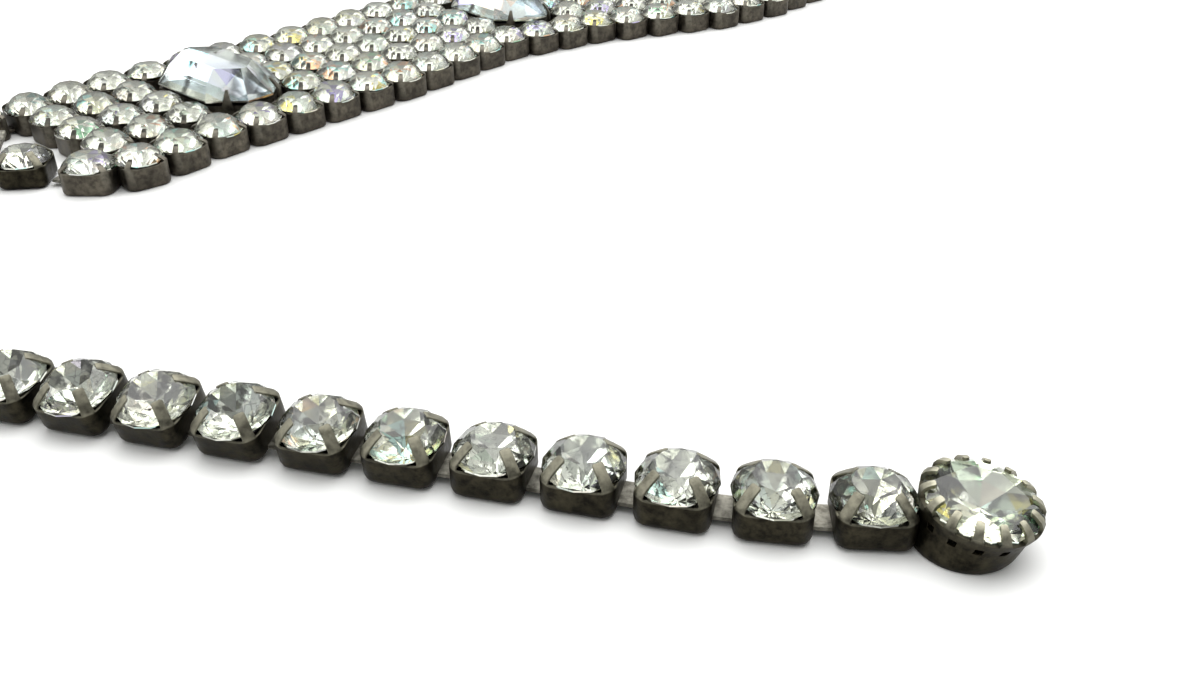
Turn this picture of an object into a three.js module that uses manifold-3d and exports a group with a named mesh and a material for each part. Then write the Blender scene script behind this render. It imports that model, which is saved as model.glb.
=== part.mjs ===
// Rhinestone choker, lying open on a flat surface, in millimetres, +Z up.
//
// A five-row panel of square cups with three octagon stones carries a single-row chain at each end.
// The tail chain turns round in the plane and ends in a round stone. The other chain ends in a hook.
// Cups that lie open to view are hollow settings with a loose stone each. Rows and hidden stretches
// are joined along their thread.

import * as THREE from "three";
import { mergeVertices } from "three/addons/utils/BufferGeometryUtils.js";
import { ConvexGeometry } from "three/addons/geometries/ConvexGeometry.js";
import Module from "manifold-3d";

const wasm = await Module();
wasm.setup();

// Chain cups and stones, with the pitch where the chain is bent and where it lies drawn out
const CHAIN_PITCH = 6.2;
const DRAWN_PITCH = 6.22;
const CHAIN = { width: 5.1, wallTop: 2.3, wall: 0.35, floor: 0.4, stoneRadius: 2.6, tableRadius: 1.4 };
const CHAIN_STONE = { culet: 1.4, girdleLow: 2.75, girdleHigh: 2.95, top: 3.75, sides: 12 };

// Flat strips that link the chain cups through slots near their floor
const STRIP = { width: 2.0, low: 0.75, thickness: 0.3, reach: 1.2 };
const NARROW_STRIP = { ...STRIP, width: 1.2 };
const SLOT = { width: 3.0, low: 0.45, high: 1.35 };

// Gap a piece keeps to the one it is seated against, and the extra where a link meets a cup at a slant
const SEAT_GAP = 0.3;
const SLANT_GAP = 0.35;

// Panel: columns along its length, five rows across it
const PANEL_PITCH = 5.25;
const ROWS = [
  { name: "panel_near_edge", across: -11.9, edge: true },
  { name: "panel_row_1", across: -5.8, edge: false },
  { name: "panel_row_2", across: 0, edge: false },
  { name: "panel_row_3", across: 5.8, edge: false },
  { name: "panel_far_edge", across: 11.9, edge: true },
];
const EDGE_CUP = { along: 4.8, across: 5.4, wallTop: 2.4, stoneRadius: 2.4, tableRadius: 1.4, top: 3.9 };
const INNER_CUP = { along: 4.6, across: 4.9, wallTop: 2.4, stoneRadius: 2.15, tableRadius: 1.2, top: 3.8 };
const ROW_STRIP = { width: 1.6, low: 0.25, thickness: 0.4 };
const TIE_COLUMNS = [0, 2, 5, 8, 11, 14, 17, 20, 23, 25];
const CROWN_SIDES = 6;

// Octagon stones: each takes two columns of the three inner rows
const OCTAGON_COLUMNS = [3, 12, 21];
const OCTAGON = { across: 16.8, along: 9.7, cut: 3.4 };
const OCTAGON_CUP = { margin: 0.3, cut: 2.8, wall: 0.4, base: 1.1, floor: 0.5, wallTop: 2.7 };
const OCTAGON_STONE = { keel: 1.8, girdleLow: 3.05, girdleHigh: 3.25, top: 6.5 };
const OCTAGON_TABLE = { inset: 2.6, cutLoss: 1.6 };
const OCTAGON_KEEL = { inset: 4.4, cutLoss: 2.8 };

// Round end head
const END = { outer: 3.85, inner: 3.5, floor: 0.5, wallTop: 2.5, stoneRadius: 3.4, tableRadius: 2.0 };
const END_PRONGS = 14;
const END_STONE = { culet: 0.8, girdleLow: 2.8, girdleHigh: 3.0, top: 4.0, sides: 20 };
const END_SPACING = 6.6;
const END_ASIDE = -0.65;

// Prongs, measured out from a stone's or a wall's edge: they rise from the foot, bend and lap inward
const PRONGS = {
  chain: {
    inner: 0.4, outer: 0.9, foot: 1.9, bend: 2.9, shoulder: 3.05,
    lapTop: 0.2, tipTop: 3.9, lapLow: 0.45, tipLow: 3.65, thickness: 0.7,
  },
  octagon: {
    inner: 0.3, outer: 0.7, foot: 2.0, bend: 3.3, shoulder: 3.4,
    lapTop: 0.4, tipTop: 4.5, lapLow: 0.6, tipLow: 4.25, thickness: 0.9,
  },
  end: {
    inner: -0.25, outer: 0, foot: 2.0, bend: 3.15, shoulder: 3.3,
    lapTop: 0.7, tipTop: 4.0, lapLow: 0.9, tipLow: 3.75, thickness: 0.6,
  },
};

// Route of the panel's centre line: the direction it runs in and the way its columns face, in degrees
const PANEL_FACING = 50;
const PANEL_ROUTE = [
  { columns: 2, run: 54, facing: 50 },
  { columns: 5, run: 47, facing: 48 },
  { columns: 4, run: 53, facing: 45 },
  { columns: 3, run: 34, facing: 40 },
  { columns: 4, run: 22, facing: 36 },
  { columns: 2, run: 38, facing: 37 },
  { columns: 5, run: 50, facing: 44 },
];

// The near edge's first cups sag out of line, measured in their own directions
const NEAR_SAG = [
  { along: -0.1, across: -0.45, turn: -10 },
  { along: -0.3, across: -0.35, turn: 3 },
];

// Single cups beyond the panel's corners, measured in its end column's own directions
const CORNER_CUPS = [
  { row: 0, atEnd: false, along: -4.4, across: -10.1, turn: 40 },
  { row: 4, atEnd: false, along: -5.4, across: 12.9, turn: -8 },
  { row: 0, atEnd: true, along: 5.9, across: -10.4, turn: 61 },
  { row: 4, atEnd: true, along: 5.9, across: 10.4, turn: -61 },
];

// Tail chain: its first cup, then arcs of so many cups that turn by so many degrees
const TAIL_ROOT = { x: -2.74, y: -8.12, heading: 188 };
const TAIL_HIDDEN = [
  { cups: 1, turn: -18 },
  { cups: 2, turn: 29.5 },
  { cups: 12, turn: 187 },
  { cups: 2, turn: -30.5 },
];
const TAIL_OPEN = [
  { cups: 1, turn: -9.7 },
  { cups: 8, turn: 0 },
  { cups: 2, turn: 10 },
];

// How far each open cup tips forward onto its near lower edge, in degrees
const OPEN_TIPS = [7, 12, 12, 12, 9, 5, 0, 0, 0, 0, 0];

// Hook chain, from the panel's end column
const HOOK_ROOT_AHEAD = 10.8;
const HOOK_ROUTE = [
  { cups: 3, turn: -12 },
  { cups: 4, turn: -28 },
];
const HOOK = { wire: 0.6, straight: 6.0, bend: 1.7, back: 3.5, steps: 16, sectionSegments: 3 };

// Flat yoke bars that gather the panel's rows into the chains
const YOKE = { width: 2.2, low: 0.9, thickness: 0.5 };
const TAIL_YOKE = { length: 6.4, low: 1.5, aside: 3.4, turn: -62 };
const HOOK_YOKE = { cupDraw: 3.0, chainDraw: 4.1 };

const metal = { color: 0x4d483f, roughness: 0.45, metalness: 0.9 };
const silver = { color: 0xc9c5ba, roughness: 0.35, metalness: 0.9 };
const crystal = { color: 0xe9eef0, roughness: 0.05, metalness: 0.1 };
const radians = THREE.MathUtils.degToRad;

// ---- solids ----

function solid(geometry) {
  const bare = geometry.clone();
  bare.deleteAttribute("normal");
  bare.deleteAttribute("uv");
  const merged = mergeVertices(bare, 1e-4);
  return new wasm.Manifold(new wasm.Mesh({
    numProp: 3,
    vertProperties: new Float32Array(merged.attributes.position.array),
    triVerts: new Uint32Array(merged.index.array),
  }));
}

function surface(body) {
  const mesh = body.getMesh();
  const geometry = new THREE.BufferGeometry();
  geometry.setAttribute("position", new THREE.BufferAttribute(mesh.vertProperties, 3));
  geometry.setIndex(new THREE.BufferAttribute(mesh.triVerts, 1));
  geometry.computeVertexNormals();
  return geometry;
}

function joined(bodies) {
  return bodies.reduce((whole, body) => whole.add(body));
}

// A block centred on x and y that runs from one height to another
function block(sizeX, sizeY, low, high) {
  return new THREE.BoxGeometry(sizeX, sizeY, high - low).translate(0, 0, (low + high) / 2);
}

function placed(geometry, pose) {
  return geometry.clone().rotateZ(radians(pose.heading)).translate(pose.x, pose.y, 0);
}

// Tips a piece of the chain forward about the near lower edge of its cup
function tipped(geometry, tip) {
  const edge = CHAIN.width / 2;
  return geometry.clone().translate(0, edge, 0).rotateX(radians(tip)).translate(0, -edge, 0);
}

// A flat strip between two points, with its ends drawn in by the given lengths
function stripBetween(from, to, shape, drawStart, drawEnd, tip = 0) {
  const span = Math.hypot(to.x - from.x, to.y - from.y);
  const heading = THREE.MathUtils.radToDeg(Math.atan2(to.y - from.y, to.x - from.x));
  const strip = block(span - drawStart - drawEnd, shape.width, shape.low, shape.low + shape.thickness);
  strip.translate((span + drawStart - drawEnd) / 2, 0, 0);
  return placed(tipped(strip, tip), { x: from.x, y: from.y, heading });
}

// An upright plate in the plane of a radius, outlined so that it bends in over the edge
function bentProng(edge, prong, angle) {
  const shape = new THREE.Shape([
    new THREE.Vector2(edge + prong.inner, prong.foot),
    new THREE.Vector2(edge + prong.outer, prong.foot),
    new THREE.Vector2(edge + prong.outer, prong.shoulder),
    new THREE.Vector2(edge - prong.lapTop, prong.tipTop),
    new THREE.Vector2(edge - prong.lapLow, prong.tipLow),
    new THREE.Vector2(edge + prong.inner, prong.bend),
  ]);
  const plate = new THREE.ExtrudeGeometry(shape, { depth: prong.thickness, bevelEnabled: false });
  return plate.translate(0, 0, -prong.thickness / 2).rotateX(Math.PI / 2).rotateZ(radians(angle));
}

// ---- stones and settings ----

function roundStone(radius, tableRadius, levels) {
  const profile = [
    new THREE.Vector2(0, levels.culet),
    new THREE.Vector2(radius, levels.girdleLow),
    new THREE.Vector2(radius, levels.girdleHigh),
    new THREE.Vector2(tableRadius, levels.top),
    new THREE.Vector2(0, levels.top),
  ];
  return new THREE.LatheGeometry(profile, levels.sides).rotateX(Math.PI / 2);
}

function chainSetting() {
  const inner = CHAIN.width - 2 * CHAIN.wall;
  const cup = solid(block(CHAIN.width, CHAIN.width, 0, CHAIN.wallTop))
    .subtract(solid(block(inner, inner, CHAIN.floor, CHAIN.wallTop + 1)))
    .subtract(solid(block(CHAIN.width + 1, SLOT.width, SLOT.low, SLOT.high)));
  const prongs = [45, 135, 225, 315].map((angle) => {
    return solid(bentProng(CHAIN.stoneRadius, PRONGS.chain, angle));
  });
  return surface(joined([cup, ...prongs]));
}

function octagonOutline(across, along, cut) {
  const halfX = along / 2;
  const halfY = across / 2;
  return [
    [halfX, -halfY + cut], [halfX, halfY - cut], [halfX - cut, halfY], [-halfX + cut, halfY],
    [-halfX, halfY - cut], [-halfX, -halfY + cut], [-halfX + cut, -halfY], [halfX - cut, -halfY],
  ];
}

function octagonPrism(across, along, cut, low, high) {
  const outline = octagonOutline(across, along, cut).map(([x, y]) => new THREE.Vector2(x, y));
  const prism = new THREE.ExtrudeGeometry(new THREE.Shape(outline), { depth: high - low, bevelEnabled: false });
  return prism.translate(0, 0, low);
}

function octagonSetting() {
  const across = OCTAGON.across + OCTAGON_CUP.margin;
  const along = OCTAGON.along + OCTAGON_CUP.margin;
  const walls = 2 * OCTAGON_CUP.wall;
  const { cut, base, floor, wallTop } = OCTAGON_CUP;
  const cup = solid(octagonPrism(across, along, cut, base, wallTop))
    .subtract(solid(octagonPrism(across - walls, along - walls, cut, base + floor, wallTop + 1)));
  const cornerX = (OCTAGON.along - OCTAGON.cut) / 2;
  const cornerY = (OCTAGON.across - OCTAGON.cut) / 2;
  const prongs = [45, 135, 225, 315].map((angle) => {
    const toRight = Math.sign(Math.cos(radians(angle)));
    const toFar = Math.sign(Math.sin(radians(angle)));
    return solid(bentProng(0, PRONGS.octagon, angle).translate(toRight * cornerX, toFar * cornerY, 0));
  });
  return surface(joined([cup, ...prongs]));
}

function octagonStone() {
  const level = ({ inset, cutLoss }, height) => {
    const across = OCTAGON.across - 2 * inset;
    const along = OCTAGON.along - 2 * inset;
    const outline = octagonOutline(across, along, OCTAGON.cut - cutLoss);
    return outline.map(([x, y]) => new THREE.Vector3(x, y, height));
  };
  const girdle = { inset: 0, cutLoss: 0 };
  const points = [
    ...level(OCTAGON_KEEL, OCTAGON_STONE.keel),
    ...level(girdle, OCTAGON_STONE.girdleLow),
    ...level(girdle, OCTAGON_STONE.girdleHigh),
    ...level(OCTAGON_TABLE, OCTAGON_STONE.top),
  ];
  return surface(solid(new ConvexGeometry(points)));
}

function endSetting() {
  const profile = [
    new THREE.Vector2(0, 0),
    new THREE.Vector2(END.outer, 0),
    new THREE.Vector2(END.outer, END.wallTop),
    new THREE.Vector2(END.inner, END.wallTop),
    new THREE.Vector2(END.inner, END.floor),
    new THREE.Vector2(0, END.floor),
  ];
  const cup = solid(new THREE.LatheGeometry(profile, 2 * END_PRONGS).rotateX(Math.PI / 2));
  const prongs = [];
  for (let index = 0; index < END_PRONGS; index += 1) {
    prongs.push(solid(bentProng(END.outer, PRONGS.end, (index * 360) / END_PRONGS)));
  }
  return surface(joined([cup, ...prongs]));
}

// A closed cup with the crown of its stone, as the joined rows carry it
function settStone(shape) {
  const sunk = 0.1;
  const height = shape.top - shape.wallTop + sunk;
  const crown = new THREE.CylinderGeometry(shape.tableRadius, shape.stoneRadius, height, CROWN_SIDES);
  crown.rotateX(Math.PI / 2).rotateZ(Math.PI / CROWN_SIDES);
  crown.translate(0, 0, shape.wallTop - sunk + height / 2);
  return solid(block(shape.along, shape.across, 0, shape.wallTop)).add(solid(crown));
}

// Cups at the given poses, joined by a flat strip from centre to centre, with any extra solids
function joinedRow(poses, shape, extras = []) {
  const cup = surface(settStone(shape));
  const cups = poses.map((pose) => solid(placed(cup, pose)));
  const strips = poses.slice(1).map((pose, index) => {
    return solid(stripBetween(poses[index], pose, ROW_STRIP, 0, 0));
  });
  return surface(joined([...cups, ...strips, ...extras]));
}

// ---- routes ----

// Steps of equal pitch along arcs, each turned half before and half after its step
function chainPoses(start, route, pitch) {
  const poses = [start];
  for (const { cups, turn } of route) {
    for (let index = 0; index < cups; index += 1) {
      const last = poses[poses.length - 1];
      const middle = radians(last.heading + turn / cups / 2);
      poses.push({
        x: last.x + pitch * Math.cos(middle),
        y: last.y + pitch * Math.sin(middle),
        heading: last.heading + turn / cups,
      });
    }
  }
  return poses;
}

function panelColumns() {
  const columns = [{ x: 0, y: 0, heading: PANEL_FACING }];
  for (const section of PANEL_ROUTE) {
    const before = columns[columns.length - 1].heading;
    for (let index = 1; index <= section.columns; index += 1) {
      const last = columns[columns.length - 1];
      columns.push({
        x: last.x + PANEL_PITCH * Math.cos(radians(section.run)),
        y: last.y + PANEL_PITCH * Math.sin(radians(section.run)),
        heading: before + ((section.facing - before) * index) / section.columns,
      });
    }
  }
  return columns;
}

// A pose measured along and across another pose's own directions
function beside(pose, along, across, turn = 0) {
  const angle = radians(pose.heading);
  return {
    x: pose.x + along * Math.cos(angle) - across * Math.sin(angle),
    y: pose.y + along * Math.sin(angle) + across * Math.cos(angle),
    heading: pose.heading + turn,
  };
}

// ---- assembly ----

const choker = new THREE.Group();

function addPiece(name, geometry, finish, pose) {
  const piece = new THREE.Mesh(geometry, new THREE.MeshStandardMaterial(finish));
  piece.name = name;
  if (pose) {
    piece.position.set(pose.x, pose.y, 0);
    piece.rotation.z = radians(pose.heading);
  }
  choker.add(piece);
}

const columns = panelColumns();
const firstColumn = columns[0];
const lastColumn = columns[columns.length - 1];

function cornerCup(row, atEnd) {
  const { along, across, turn } = CORNER_CUPS.find((cup) => cup.row === row && cup.atEnd === atEnd);
  return beside(atEnd ? lastColumn : firstColumn, along, across, turn);
}

function underOctagon(columnIndex) {
  return OCTAGON_COLUMNS.some((first) => columnIndex === first || columnIndex === first + 1);
}

// Flat ties that reach from one row to just short of the next
function tiesAcross(row, nextRow) {
  const nextCup = nextRow.edge ? EDGE_CUP : INNER_CUP;
  const drawEnd = nextCup.across / 2 + SEAT_GAP;
  return TIE_COLUMNS.map((index) => {
    const from = beside(columns[index], 0, row.across);
    const to = beside(columns[index], 0, nextRow.across);
    return solid(stripBetween(from, to, ROW_STRIP, 0, drawEnd));
  });
}

function buildPanel() {
  ROWS.forEach((row, index) => {
    const kept = columns.filter((column, columnIndex) => row.edge || !underOctagon(columnIndex));
    const poses = kept.map((column) => beside(column, 0, row.across));
    if (index === 0) {
      NEAR_SAG.forEach((sag, place) => {
        poses[place] = beside(poses[place], sag.along, sag.across, sag.turn);
      });
    }
    if (row.edge) {
      poses.unshift(cornerCup(index, false));
      poses.push(cornerCup(index, true));
    }
    const ties = index < ROWS.length - 1 ? tiesAcross(row, ROWS[index + 1]) : [];
    addPiece(row.name, joinedRow(poses, row.edge ? EDGE_CUP : INNER_CUP, ties), metal);
  });
}

function buildOctagons() {
  OCTAGON_COLUMNS.forEach((first, index) => {
    const before = columns[first];
    const after = columns[first + 1];
    const pose = {
      x: (before.x + after.x) / 2,
      y: (before.y + after.y) / 2,
      heading: (before.heading + after.heading) / 2,
    };
    addPiece(`octagon_setting_${index + 1}`, octagonSetting(), metal, pose);
    addPiece(`octagon_stone_${index + 1}`, octagonStone(), crystal, pose);
  });
}

const bendPoses = chainPoses(TAIL_ROOT, TAIL_HIDDEN, CHAIN_PITCH);
const openPoses = chainPoses(bendPoses[bendPoses.length - 1], TAIL_OPEN, DRAWN_PITCH).slice(1);
const hiddenPoses = bendPoses.slice(1);

function buildTail() {
  const setting = chainSetting();
  const stone = roundStone(CHAIN.stoneRadius, CHAIN.tableRadius, CHAIN_STONE);
  const loose = [TAIL_ROOT, ...openPoses];
  const tips = [0, ...OPEN_TIPS];
  loose.forEach((pose, index) => {
    const number = String(index).padStart(2, "0");
    addPiece(`tail_setting_${number}`, tipped(setting, tips[index]), metal, pose);
    addPiece(`tail_stone_${number}`, tipped(stone, tips[index]), crystal, pose);
  });
  addPiece("tail_bend_chain", joinedRow(hiddenPoses, chainBlock), metal);

  const head = beside(openPoses[openPoses.length - 1], END_SPACING, END_ASIDE);
  addPiece("end_setting", endSetting(), metal, head);
  addPiece("end_stone", roundStone(END.stoneRadius, END.tableRadius, END_STONE), crystal, head);

  const faceGap = CHAIN.width / 2 + SEAT_GAP;
  const corner = cornerCup(0, false);
  const between = openPoses.slice(1).map((pose, index) => {
    const tip = (OPEN_TIPS[index] + OPEN_TIPS[index + 1]) / 2;
    return [openPoses[index], pose, STRIP.reach, STRIP.reach, STRIP, tip];
  });
  const links = [
    [TAIL_ROOT, corner, faceGap + SLANT_GAP, EDGE_CUP.across / 2 + SEAT_GAP + SLANT_GAP, NARROW_STRIP, 0],
    [TAIL_ROOT, hiddenPoses[0], STRIP.reach, faceGap, NARROW_STRIP, 0],
    [hiddenPoses[hiddenPoses.length - 1], openPoses[0], faceGap, STRIP.reach, STRIP, OPEN_TIPS[0]],
    ...between,
    [openPoses[openPoses.length - 1], head, STRIP.reach, END.outer + SEAT_GAP, STRIP, 0],
  ];
  links.forEach(([from, to, drawStart, drawEnd, strip, tip], index) => {
    const number = String(index).padStart(2, "0");
    addPiece(`tail_link_${number}`, stripBetween(from, to, strip, drawStart, drawEnd, tip), silver);
  });
}

const chainBlock = {
  along: CHAIN.width,
  across: CHAIN.width,
  wallTop: CHAIN.wallTop,
  stoneRadius: CHAIN.stoneRadius,
  tableRadius: CHAIN.tableRadius,
  top: CHAIN_STONE.top,
};

const hookRoot = beside(lastColumn, HOOK_ROOT_AHEAD, 0);
const hookPoses = chainPoses(hookRoot, HOOK_ROUTE, CHAIN_PITCH);

// A line that runs straight, turns back on itself in a half circle and runs back a little
function hookPath() {
  const { straight, bend, back } = HOOK;
  const control = (4 / 3) * Math.tan(Math.PI / 8) * bend;
  const start = new THREE.Vector3(0, 0, 0);
  const low = new THREE.Vector3(straight, 0, 0);
  const side = new THREE.Vector3(straight + bend, bend, 0);
  const high = new THREE.Vector3(straight, 2 * bend, 0);
  const lowControl = new THREE.Vector3(low.x + control, low.y, 0);
  const sideBefore = new THREE.Vector3(side.x, side.y - control, 0);
  const sideAfter = new THREE.Vector3(side.x, side.y + control, 0);
  const highControl = new THREE.Vector3(high.x + control, high.y, 0);
  const path = new THREE.CurvePath();
  path.add(new THREE.LineCurve3(start, low));
  path.add(new THREE.CubicBezierCurve3(low, lowControl, sideBefore, side));
  path.add(new THREE.CubicBezierCurve3(side, sideAfter, highControl, high));
  path.add(new THREE.LineCurve3(high, new THREE.Vector3(high.x - back, high.y, 0)));
  return path;
}

function buildHookSide() {
  addPiece("hook_chain", joinedRow(hookPoses, chainBlock), metal);
  const section = new THREE.Shape();
  section.absarc(0, 0, HOOK.wire, 0, 2 * Math.PI);
  const wire = new THREE.ExtrudeGeometry(section, {
    steps: HOOK.steps,
    curveSegments: HOOK.sectionSegments,
    extrudePath: hookPath(),
  });
  const seat = beside(hookPoses[hookPoses.length - 1], CHAIN.width / 2 + SEAT_GAP, 0);
  addPiece("hook", wire.translate(0, 0, HOOK.wire), silver, seat);
}

function buildYokes() {
  const bar = block(TAIL_YOKE.length, YOKE.width, TAIL_YOKE.low, TAIL_YOKE.low + YOKE.thickness);
  const seat = beside(hiddenPoses[0], 0, -TAIL_YOKE.aside, TAIL_YOKE.turn);
  addPiece("yoke_tail", bar.translate(TAIL_YOKE.length / 2, 0, 0), silver, seat);
  for (const [name, row] of [["yoke_hook_near", 0], ["yoke_hook_far", ROWS.length - 1]]) {
    const strip = stripBetween(cornerCup(row, true), hookRoot, YOKE, HOOK_YOKE.cupDraw, HOOK_YOKE.chainDraw);
    addPiece(name, strip, silver);
  }
}

buildPanel();
buildOctagons();
buildTail();
buildHookSide();
buildYokes();

// The origin lies on the resting surface, under the middle of the whole piece
const reach = new THREE.Box3().setFromObject(choker, true);
choker.position.set(-(reach.min.x + reach.max.x) / 2, -(reach.min.y + reach.max.y) / 2, 0);

export default choker;
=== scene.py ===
"""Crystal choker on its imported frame: cups, faceted stones, octagons, end head, links, bars and hook."""

import math
import random
from collections import namedtuple
from itertools import zip_longest

import bmesh
import bpy
from mathutils import Matrix, Vector


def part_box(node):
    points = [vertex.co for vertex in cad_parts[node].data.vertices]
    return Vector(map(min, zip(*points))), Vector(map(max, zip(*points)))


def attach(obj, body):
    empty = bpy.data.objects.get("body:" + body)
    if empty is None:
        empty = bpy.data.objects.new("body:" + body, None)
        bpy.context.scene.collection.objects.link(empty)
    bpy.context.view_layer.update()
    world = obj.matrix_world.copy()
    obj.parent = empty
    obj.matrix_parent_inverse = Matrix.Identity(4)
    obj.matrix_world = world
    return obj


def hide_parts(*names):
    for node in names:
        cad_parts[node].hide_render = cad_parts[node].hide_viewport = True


bl_info = {
    "name": "Crystal choker",
    "version": (1, 0, 0),
    "blender": (4, 5, 0),
    "location": "View3D > Sidebar > Choker",
    "description": "Builds a cup-chain choker of faceted stones around its packed frame",
    "category": "Add Mesh",
}

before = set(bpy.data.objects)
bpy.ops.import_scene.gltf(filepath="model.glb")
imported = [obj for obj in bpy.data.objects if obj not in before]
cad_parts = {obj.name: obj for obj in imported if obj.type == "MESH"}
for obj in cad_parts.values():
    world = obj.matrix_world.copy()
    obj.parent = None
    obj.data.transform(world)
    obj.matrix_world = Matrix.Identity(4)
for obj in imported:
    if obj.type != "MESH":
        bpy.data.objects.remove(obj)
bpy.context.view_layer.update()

MM = 0.001
SMALL = 1e-6
RIM_SLACK = 0.01 * MM
FINE_ROUND = 0.05 * MM
UP = Vector((0.0, 0.0, 1.0))

Pose = namedtuple("Pose", "x y heading")
Arc = namedtuple("Arc", "cups turn")
Section = namedtuple("Section", "columns run facing")
Corner = namedtuple("Corner", "row at_end along across turn")
Row = namedtuple("Row", "name across edge")
ProngStep = namedtuple("ProngStep", "inward up squeeze")

# ---- the choker's lie, in millimetres and degrees ----

CHAIN_PITCH = 6.2
DRAWN_PITCH = 6.22
PANEL_PITCH = 5.25
PANEL_FACING = 50
PANEL_ROUTE = (
    Section(2, 54, 50),
    Section(5, 47, 48),
    Section(4, 53, 45),
    Section(3, 34, 40),
    Section(4, 22, 36),
    Section(2, 38, 37),
    Section(5, 50, 44),
)
ROWS = (
    Row("panel_near_edge", -11.9, True),
    Row("panel_row_1", -5.8, False),
    Row("panel_row_2", 0.0, False),
    Row("panel_row_3", 5.8, False),
    Row("panel_far_edge", 11.9, True),
)
OCTAGON_COLUMNS = (3, 12, 21)
NEAR_SAG = ((-0.1, -0.45, -10), (-0.3, -0.35, 3))
CORNER_CUPS = (
    Corner(0, False, -4.4, -10.1, 40),
    Corner(4, False, -5.4, 12.9, -8),
    Corner(0, True, 5.9, -10.4, 61),
    Corner(4, True, 5.9, 10.4, -61),
)
TAIL_ROOT = (-2.74, -8.12, 188)
TAIL_HIDDEN = (Arc(1, -18), Arc(2, 29.5), Arc(12, 187), Arc(2, -30.5))
TAIL_OPEN = (Arc(1, -9.7), Arc(8, 0), Arc(2, 10))
OPEN_TIPS = (0, 7, 12, 12, 12, 9, 5, 0, 0, 0, 0, 0)
END_SPACING = 6.6
END_ASIDE = -0.65
HOOK_ROOT_AHEAD = 10.8
HOOK_ROUTE = (Arc(3, -12), Arc(4, -28))
TIE_COLUMNS = (0, 2, 5, 8, 11, 14, 17, 20, 23, 25)
TAIL_BAR_ASIDE = 3.4
TAIL_BAR_TURN = -62
CUP_HALF = 2.55
EDGE_CUP_HALF = 2.7
HEAD_HALF = 3.85
STRIP_REACH = 1.2
STRIP_WIDTH = 2.4
NARROW_STRIP = 1.2
SEAT_GAP = 0.3
SLANT_GAP = 0.35
HEAD_PRONGS = 14
HEAD_CELLS = 6
HEAD_WINDOW_CELLS = (2, 3)
HEAD_PRONG_FACING = -84


def chain_poses(start, route, pitch=CHAIN_PITCH):
    """Steps of equal pitch along arcs, each turned half before and half after its step."""
    poses = [start]
    for arc in route:
        turn = math.radians(arc.turn / arc.cups)
        for _ in range(arc.cups):
            last = poses[-1]
            middle = last.heading + turn / 2
            poses.append(Pose(
                last.x + pitch * MM * math.cos(middle),
                last.y + pitch * MM * math.sin(middle),
                last.heading + turn,
            ))
    return poses


def panel_columns(start):
    """The panel's column places: each section runs one way while its columns turn to face another."""
    columns = [start]
    for section in PANEL_ROUTE:
        before = columns[-1].heading
        run, facing = math.radians(section.run), math.radians(section.facing)
        for index in range(1, section.columns + 1):
            last = columns[-1]
            columns.append(Pose(
                last.x + PANEL_PITCH * MM * math.cos(run),
                last.y + PANEL_PITCH * MM * math.sin(run),
                before + (facing - before) * index / section.columns,
            ))
    return columns


def beside(pose, along, across, turn=0.0):
    """A pose measured along and across another pose's own directions, in millimetres and degrees."""
    cos, sin = math.cos(pose.heading), math.sin(pose.heading)
    return Pose(
        pose.x + (along * cos - across * sin) * MM,
        pose.y + (along * sin + across * cos) * MM,
        pose.heading + math.radians(turn),
    )


def frame_shift():
    """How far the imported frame's origin lies from the panel's first column."""
    root = Pose(TAIL_ROOT[0] * MM, TAIL_ROOT[1] * MM, math.radians(TAIL_ROOT[2]))
    hidden = chain_poses(root, TAIL_HIDDEN)
    head = beside(chain_poses(hidden[-1], TAIL_OPEN, DRAWN_PITCH)[-1], END_SPACING, END_ASIDE)
    low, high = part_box("end_setting")
    return (low.x + high.x) / 2 - head.x, (low.y + high.y) / 2 - head.y


SHIFT = frame_shift()
COLUMNS = panel_columns(Pose(SHIFT[0], SHIFT[1], math.radians(PANEL_FACING)))
ROOT_POSE = Pose(SHIFT[0] + TAIL_ROOT[0] * MM, SHIFT[1] + TAIL_ROOT[1] * MM, math.radians(TAIL_ROOT[2]))
BEND_POSES = chain_poses(ROOT_POSE, TAIL_HIDDEN)[1:]
OPEN_POSES = chain_poses(BEND_POSES[-1], TAIL_OPEN, DRAWN_PITCH)[1:]
HEAD_POSE = beside(OPEN_POSES[-1], END_SPACING, END_ASIDE)
HOOK_POSES = chain_poses(beside(COLUMNS[-1], HOOK_ROOT_AHEAD, 0), HOOK_ROUTE)


def corner_pose(row, at_end):
    """The single cup beyond one corner of the panel."""
    corner = next(c for c in CORNER_CUPS if c.row == row and c.at_end == at_end)
    return beside(COLUMNS[-1 if at_end else 0], corner.along, corner.across, corner.turn)


def octagon_pose(first):
    """Midway between the two columns that an octagon takes."""
    before, after = COLUMNS[first], COLUMNS[first + 1]
    return Pose((before.x + after.x) / 2, (before.y + after.y) / 2, (before.heading + after.heading) / 2)


def row_poses(index):
    """The cups of one panel row in order, without those that the octagons replace."""
    row = ROWS[index]
    under = {first + step for first in OCTAGON_COLUMNS for step in (0, 1)}
    columns = [column for place, column in enumerate(COLUMNS) if row.edge or place not in under]
    poses = [beside(column, 0, row.across) for column in columns]
    if index == 0:
        for place, (along, across, turn) in enumerate(NEAR_SAG):
            poses[place] = beside(poses[place], along, across, turn)
    if row.edge:
        poses = [corner_pose(index, False), *poses, corner_pose(index, True)]
    return poses


# ---- sizes and colours a user may change ----

def length(name, description, millimetres):
    """A length property given in millimetres and kept in metres."""
    return bpy.props.FloatProperty(
        name=name, description=description, default=millimetres * MM, min=0.0,
        subtype="DISTANCE", unit="LENGTH", precision=5,
    )


def colour(name, description, value):
    """A colour property."""
    return bpy.props.FloatVectorProperty(
        name=name, description=description, default=value, size=4, min=0.0, max=1.0, subtype="COLOR",
    )


def number(name, description, value):
    """A plain number property."""
    return bpy.props.FloatProperty(name=name, description=description, default=value)


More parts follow.
